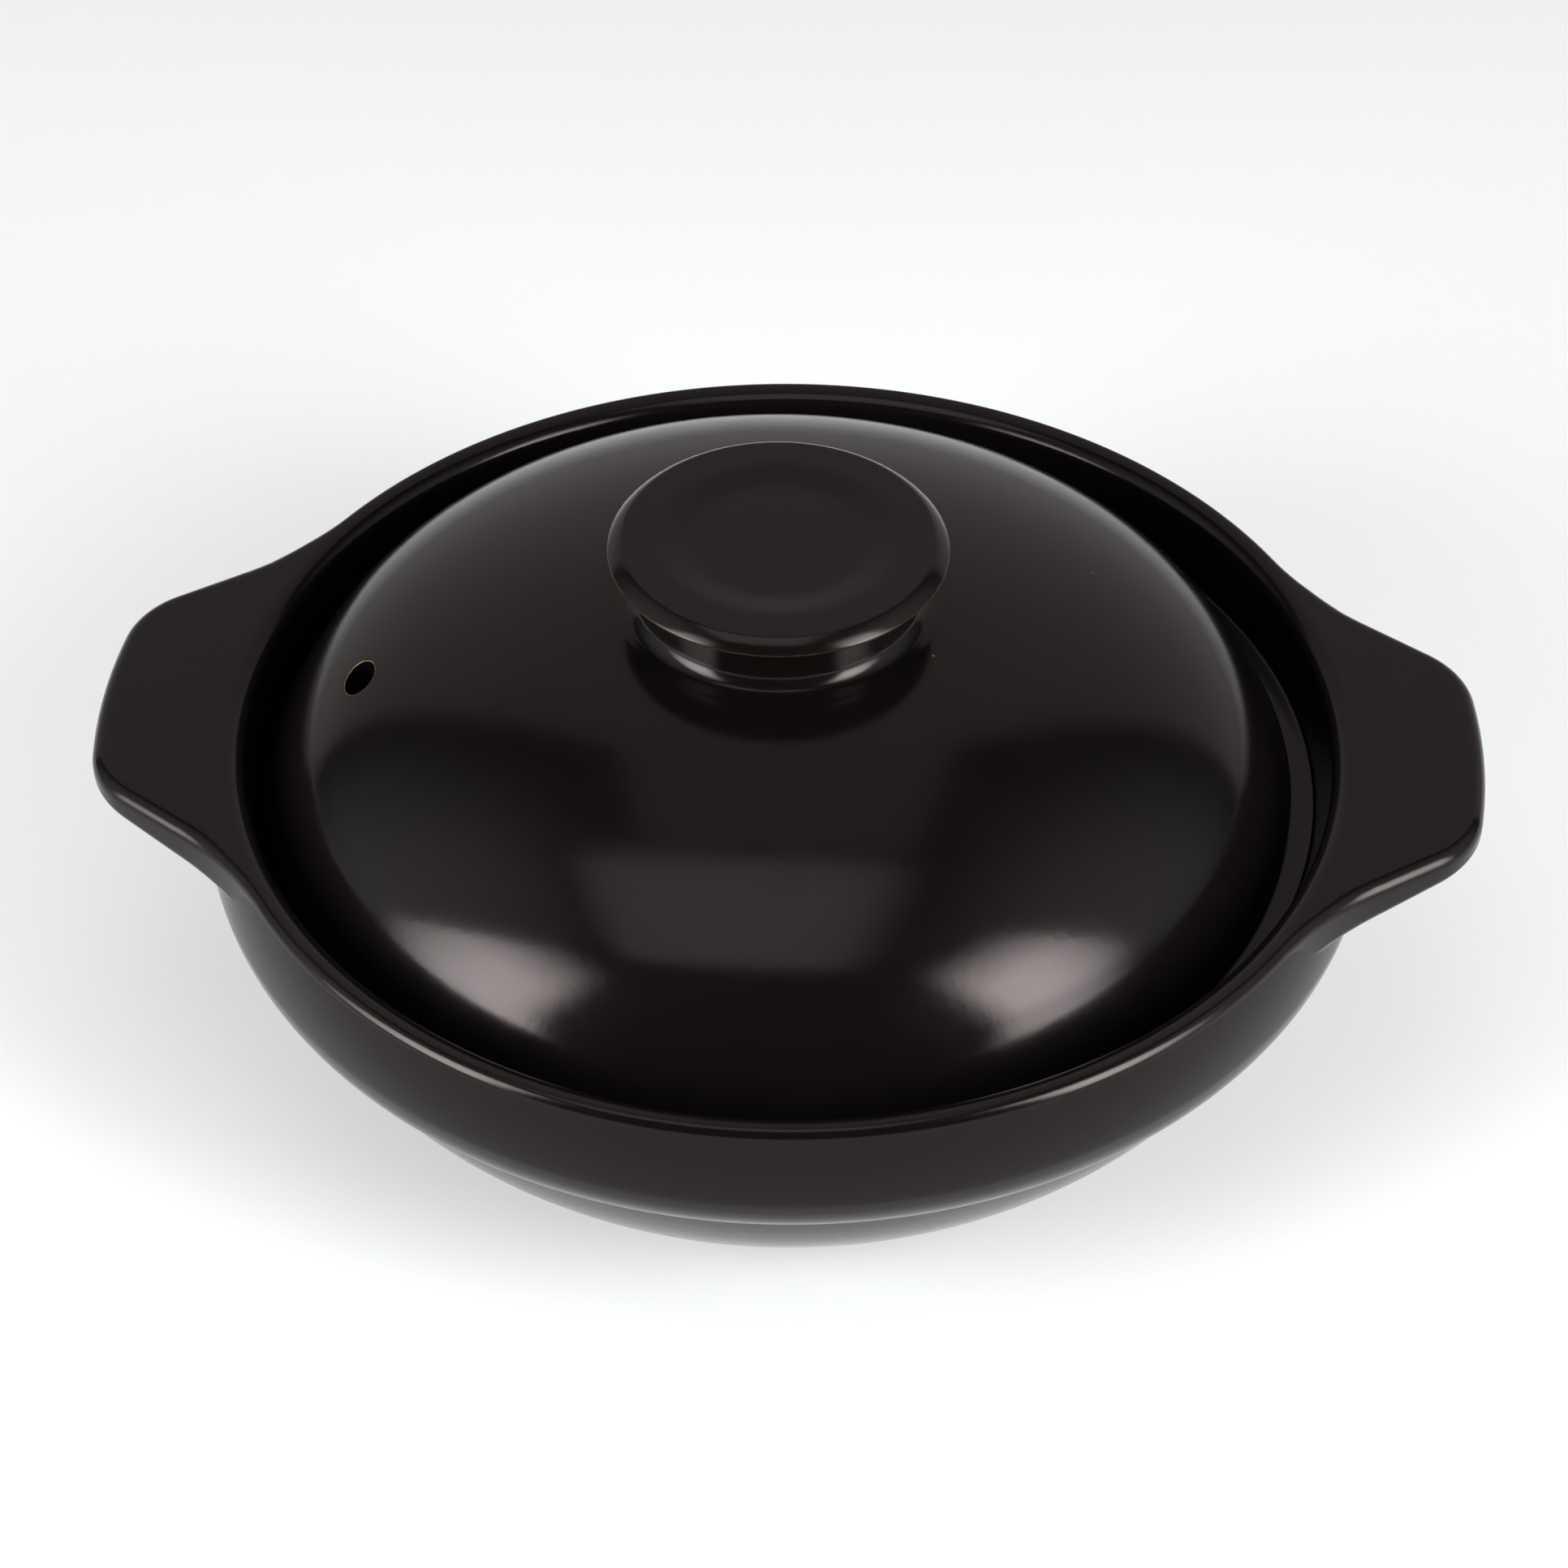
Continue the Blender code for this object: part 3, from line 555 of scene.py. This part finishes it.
def build_knob(material):
    """Disc knob on its waisted neck, luted to the top of the dome."""
    turns = np.linspace(0, 360, 289)[:-1]
    section = spread(knob_section(), 150, longest=1.4, sharpest=7.0)[1:]
    seat = np.array([(r, dome_height(r) - KNOB_BED) for r in np.linspace(section[-1, 0], 0, 9)[:-1]])
    rows = turned(np.concatenate((section, seat)), turns)
    numbers = np.arange(rows.shape[0] * rows.shape[1]).reshape(rows.shape[:2])
    points = np.concatenate((rows.reshape(-1, 3), [(0, 0, section[0, 1]), (0, 0, DOME[1] + DOME[2] - KNOB_BED)]))
    middle, under = len(points) - 2, len(points) - 1
    skin = numbers[:len(section)]
    outside = [quads(skin), fan(numbers[0], middle, True)]
    hidden = [quads(numbers[len(section) - 1:]), fan(numbers[-1], under, False)]
    normals = smooth_normals(points, outside)
    normals[numbers[len(section):]] = (0, 0, -1)
    normals[under] = (0, 0, -1)
    step = 0.01
    edge_r = section[-1, 0]
    slope = (dome_height(edge_r + step) - dome_height(edge_r - step)) / (2 * step)
    lean = np.array((-slope, 1)) / math.hypot(1, slope)
    angles = np.radians(turns)
    normals[skin[-1]] = np.stack([lean[0] * np.cos(angles), lean[0] * np.sin(angles), lean[1] + 0 * angles], -1)
    away = np.hypot(np.hypot(points[:, 0], points[:, 1]) - (KNOB_R - 0.1), points[:, 2] - KNOB_LIP + 0.2)
    bare = 0.8 * np.exp(-(away / KNOB_THIN) ** 2)
    points[:, 0] += LID_SHIFT
    piece("lid_knob", points, outside + hidden, normals, bare, material, "lid", ["lid_knob"])


# Materials

def linear(colour):
    """A hex colour as the light that it gives back."""
    channels = [int(colour[i:i + 2], 16) / 255 for i in (1, 3, 5)]
    return tuple(c / 12.92 if c <= 0.04045 else ((c + 0.055) / 1.055) ** 2.4 for c in channels) + (1.0,)


def add(tree, kind, inputs=None, **settings):
    """Adds a node with its settings, and sets or links its inputs."""
    node = tree.nodes.new(kind)
    for name, value in settings.items():
        setattr(node, name, value)
    for name, value in (inputs or {}).items():
        if isinstance(value, bpy.types.NodeSocket):
            tree.links.new(value, node.inputs[name])
        else:
            node.inputs[name].default_value = value
    return node


def per_mm(size):
    """Scale of a texture whose pattern repeats about every so many millimetres."""
    return 1 / (size * MM)


def satin_glaze(name, under_colour, under_rough):
    """Near-black iron glaze, fired to a satin: the eye sees soft-edged reflections and hardly any colour of its own.

    Where the glaze is thin it shows what lies under it, in the colour given.
    """
    material = bpy.data.materials.new(name)
    material.use_nodes = True
    tree = material.node_tree
    tree.nodes.clear()
    place = add(tree, "ShaderNodeTexCoord").outputs["Object"]

    # The iron pools a little unevenly, in clouds about as wide as a thumb
    clouds = add(tree, "ShaderNodeTexNoise", {"Vector": place, "Scale": per_mm(22), "Detail": 4.0, "Roughness": 0.6})
    body = add(tree, "ShaderNodeMixRGB", {"Fac": clouds.outputs["Fac"], "Color1": linear("#070505"),
                                          "Color2": linear("#0a0807")})

    # Pale grains of sand that have boiled up through the glaze, three or four on a palm's width
    cells = add(tree, "ShaderNodeTexVoronoi", {"Vector": place, "Scale": per_mm(17), "Randomness": 1.0})
    grain = add(tree, "ShaderNodeMapRange", {"Value": cells.outputs["Distance"], "From Min": 0.012, "From Max": 0.02,
                                             "To Min": 1.0, "To Max": 0.0})
    lot = add(tree, "ShaderNodeSeparateColor", {"Color": cells.outputs["Color"]})
    few = add(tree, "ShaderNodeMath", {0: lot.outputs["Red"], 1: 0.55}, operation="GREATER_THAN")
    grains = add(tree, "ShaderNodeMath", {0: grain.outputs["Result"], 1: few.outputs["Value"]}, operation="MULTIPLY")
    speckled = add(tree, "ShaderNodeMixRGB", {"Fac": grains.outputs["Value"], "Color1": body.outputs["Color"],
                                              "Color2": linear("#4a423b")})

    # Thin places: the arris of the steam hole, the lower edge of the knob, the face that the foot stands on
    thin = add(tree, "ShaderNodeAttribute", attribute_name="thin_glaze")
    ragged = add(tree, "ShaderNodeTexNoise", {"Vector": place, "Scale": per_mm(1.6), "Detail": 3.0})
    torn = add(tree, "ShaderNodeMath", {0: ragged.outputs["Fac"], 1: 0.9, 2: -0.45}, operation="MULTIPLY_ADD")
    shown = add(tree, "ShaderNodeMath", {0: thin.outputs["Fac"], 1: torn.outputs["Value"]}, operation="ADD")
    clay = add(tree, "ShaderNodeMapRange", {"Value": shown.outputs["Value"], "From Min": 0.3, "From Max": 0.7})
    colour = add(tree, "ShaderNodeMixRGB", {"Fac": clay.outputs["Result"], "Color1": speckled.outputs["Color"],
                                            "Color2": linear(under_colour)})

    # Satin: the melt has set with a skin of fine crystals, a little duller in patches
    patches = add(tree, "ShaderNodeTexNoise", {"Vector": place, "Scale": per_mm(9), "Detail": 5.0, "Roughness": 0.65})
    dull = add(tree, "ShaderNodeMapRange", {"Value": patches.outputs["Fac"], "From Min": 0.3, "From Max": 0.7,
                                            "To Min": 0.13, "To Max": 0.18})
    rough = add(tree, "ShaderNodeMix", {"Factor": clay.outputs["Result"], "A": dull.outputs["Result"], "B": under_rough})

    # Orange peel a couple of millimetres across and some microns deep, with finer pits in it
    peel = add(tree, "ShaderNodeTexNoise", {"Vector": place, "Scale": per_mm(2.4), "Detail": 2.0, "Roughness": 0.5})
    peel_bump = add(tree, "ShaderNodeBump", {"Height": peel.outputs["Fac"], "Strength": 1.0, "Distance": 0.012 * MM})
    pits = add(tree, "ShaderNodeTexNoise", {"Vector": place, "Scale": per_mm(0.7), "Detail": 3.0, "Roughness": 0.7})
    bump = add(tree, "ShaderNodeBump", {"Height": pits.outputs["Fac"], "Strength": 1.0, "Distance": 0.004 * MM,
                                        "Normal": peel_bump.outputs["Normal"]})
    # The iron dulls the mirror of the glaze and warms it a little
    shader = add(tree, "ShaderNodeBsdfPrincipled", {
        "Base Color": colour.outputs["Color"], "Roughness": rough.outputs["Result"], "IOR": 1.5,
        "Specular IOR Level": 0.19, "Specular Tint": linear("#ffebeb"), "Normal": bump.outputs["Normal"]})
    add(tree, "ShaderNodeOutputMaterial", {"Surface": shader.outputs["BSDF"]})
    return material


def pale_floor():
    """Matt pale grey paper sweep, which the camera sees as plain white but for the pot's shadow."""
    material = bpy.data.materials.new("matt_pale_paper")
    material.use_nodes = True
    tree = material.node_tree
    tree.nodes.clear()
    paper = add(tree, "ShaderNodeBsdfDiffuse", {"Color": linear("#c6c5c3")})
    rays = add(tree, "ShaderNodeLightPath")
    seen = rays.outputs["Is Camera Ray"]
    for ray in ("Is Glossy Ray", "Is Transmission Ray"):
        seen = add(tree, "ShaderNodeMath", {0: seen, 1: rays.outputs[ray]}, operation="MAXIMUM").outputs["Value"]
    lift = add(tree, "ShaderNodeMath", {0: seen, 1: FLOOR_LIFT}, operation="MULTIPLY")
    glow = add(tree, "ShaderNodeEmission", {"Strength": lift.outputs["Value"]})
    both = add(tree, "ShaderNodeAddShader", {0: paper.outputs["BSDF"], 1: glow.outputs["Emission"]})
    add(tree, "ShaderNodeOutputMaterial", {"Surface": both.outputs["Shader"]})
    return material


# Studio

def lay_floor():
    mesh = bpy.data.meshes.new("floor")
    half, low = FLOOR_HALF * MM, -FLOOR_GAP * MM
    mesh.from_pydata([(-half, -half, low), (half, -half, low), (half, half, low), (-half, half, low)], [], [(0, 1, 2, 3)])
    mesh.materials.append(pale_floor())
    floor = bpy.data.objects.new("floor", mesh)
    bpy.context.scene.collection.objects.link(floor)


def diffusing_cloth(name, half, fades, glow):
    """White diffuser cloth of a softbox, lit from behind, and fading towards the low and the high end of each side."""
    material = bpy.data.materials.new(name)
    material.use_nodes = True
    tree = material.node_tree
    tree.nodes.clear()
    place = add(tree, "ShaderNodeSeparateXYZ", {"Vector": add(tree, "ShaderNodeTexCoord").outputs["Object"]})
    facing_away = add(tree, "ShaderNodeNewGeometry").outputs["Backfacing"]
    lit = add(tree, "ShaderNodeMath", {0: 1.0, 1: facing_away}, operation="SUBTRACT").outputs["Value"]
    for axis, reach, (low, high) in zip("XY", half, fades):
        for edge, fade in ((-reach, low * reach), (reach, -high * reach)):
            span = {"Value": place.outputs[axis], "From Min": edge, "From Max": edge + fade, "To Min": 0.0, "To Max": 1.0}
            share = add(tree, "ShaderNodeMapRange", span, interpolation_type="SMOOTHSTEP").outputs["Result"]
            lit = add(tree, "ShaderNodeMath", {0: lit, 1: share}, operation="MULTIPLY").outputs["Value"]
    strength = add(tree, "ShaderNodeMath", {0: lit, 1: glow}, operation="MULTIPLY")
    light = add(tree, "ShaderNodeEmission", {"Color": linear("#faffff"), "Strength": strength.outputs["Value"]})
    add(tree, "ShaderNodeOutputMaterial", {"Surface": light.outputs["Emission"]})
    return material


def stretch_cloth(name, half, place, fades, glow):
    """Square of cloth that faces down its own Z axis, hidden from the camera."""
    mesh = bpy.data.meshes.new(name)
    x, y = half
    mesh.from_pydata([(-x, -y, 0), (-x, y, 0), (x, y, 0), (x, -y, 0)], [], [(0, 1, 2, 3)])
    mesh.materials.append(diffusing_cloth(name + "_cloth", half, fades, glow))
    cloth = bpy.data.objects.new(name, mesh)
    cloth.matrix_world = place
    cloth.visible_camera = False
    bpy.context.scene.collection.objects.link(cloth)


def towards(azimuth, elevation):
    return Vector((math.cos(azimuth) * math.cos(elevation), math.sin(azimuth) * math.cos(elevation), math.sin(elevation)))


def hang_cloth(name, azimuths, elevations, glow, fades):
    """Upright softbox facing the pot, between two azimuths and two elevations as the pot sees it.

    The fades are shares of its half width and half height, for the low and the high end of each.
    """
    azimuth, elevation = (math.radians(sum(span) / 2) for span in (azimuths, elevations))
    wide, high = (math.tan(math.radians((span[1] - span[0]) / 2)) for span in (azimuths, elevations))
    distance = SOFTBOX_DISTANCE * MM
    away = towards(azimuth, elevation)
    turn = away.to_track_quat("Z", "Y").to_matrix().to_4x4()
    place = Matrix.Translation(Vector((0, 0, SOFTBOX_AIM * MM)) + away * distance) @ turn
    stretch_cloth(name, (distance * math.cos(elevation) * wide, distance * high), place, fades, glow)


def light_studio():
    """A softbox on each side, pale walls beyond them, a cloth overhead and a dark room behind the camera."""
    # Each side light is hottest near its front frame and fades towards the back of the room
    even = (0.85, 0.85)
    whole = ((1.0, 1.0), (0.9, 0.9))
    hang_cloth("softbox_left", (-178, -130), (-20, 50), 20.5, ((1.4, 0.38), even))
    hang_cloth("wall_left", (-214, -134), (-24, 74), 1.1, whole)
    hang_cloth("softbox_right", (-46, -4), (-10, 54), 22.5, ((0.42, 1.25), even))
    hang_cloth("wall_right", (-44, 40), (-20, 74), 1.0, whole)
    stretch_cloth("overhead_cloth", [side * MM for side in OVERHEAD_HALF], Matrix.Translation(Vector(OVERHEAD_AT) * MM),
                  ((0.4, 0.5), (0.3, 0.3)), 1.9)
    world = bpy.data.worlds.new("studio_walls")
    world.use_nodes = True
    tree = world.node_tree
    tree.nodes.clear()
    direction = add(tree, "ShaderNodeSeparateXYZ", {"Vector": add(tree, "ShaderNodeTexCoord").outputs["Generated"]})
    behind = add(tree, "ShaderNodeMapRange", {"Value": direction.outputs["Y"], "From Min": -0.22, "From Max": 0.26,
                                              "To Min": 0.04, "To Max": 0.66}, interpolation_type="SMOOTHSTEP")
    walls = add(tree, "ShaderNodeBackground", {"Color": linear("#faf4f3"), "Strength": behind.outputs["Result"]})
    add(tree, "ShaderNodeOutputWorld", {"Surface": walls.outputs["Background"]})
    bpy.context.scene.world = world


def set_camera():
    """Camera at the photograph's place."""
    azimuth, elevation, roll = (math.radians(angle) for angle in VIEW)
    back = towards(azimuth, elevation)
    side = Vector((0, 0, 1)).cross(back).normalized()
    up = back.cross(side)
    right = side * math.cos(roll) + up * math.sin(roll)
    top = up * math.cos(roll) - side * math.sin(roll)
    lens = bpy.data.cameras.new("camera")
    lens.sensor_width = 36
    lens.lens = LENS
    lens.shift_x, lens.shift_y = LENS_SHIFT
    camera = bpy.data.objects.new("camera", lens)
    turn = Matrix((right, top, back)).transposed().to_4x4()
    camera.matrix_world = Matrix.Translation(Vector((0, 0, RIM_Z * MM)) + back * VIEW_DISTANCE * MM) @ turn
    bpy.context.scene.collection.objects.link(camera)
    bpy.context.scene.camera = camera


def main():
    build_pot(satin_glaze("black_satin_glaze_over_red_clay", "#8a5a3c", 0.75))
    build_lid(satin_glaze("black_satin_glaze_broken_to_cream", "#6e5238", 0.5))
    build_knob(satin_glaze("black_satin_glaze_broken_to_brown", "#1d130d", 0.3))
    lay_floor()
    light_studio()
    set_camera()
    bpy.context.scene.view_settings.view_transform = "Standard"


main()
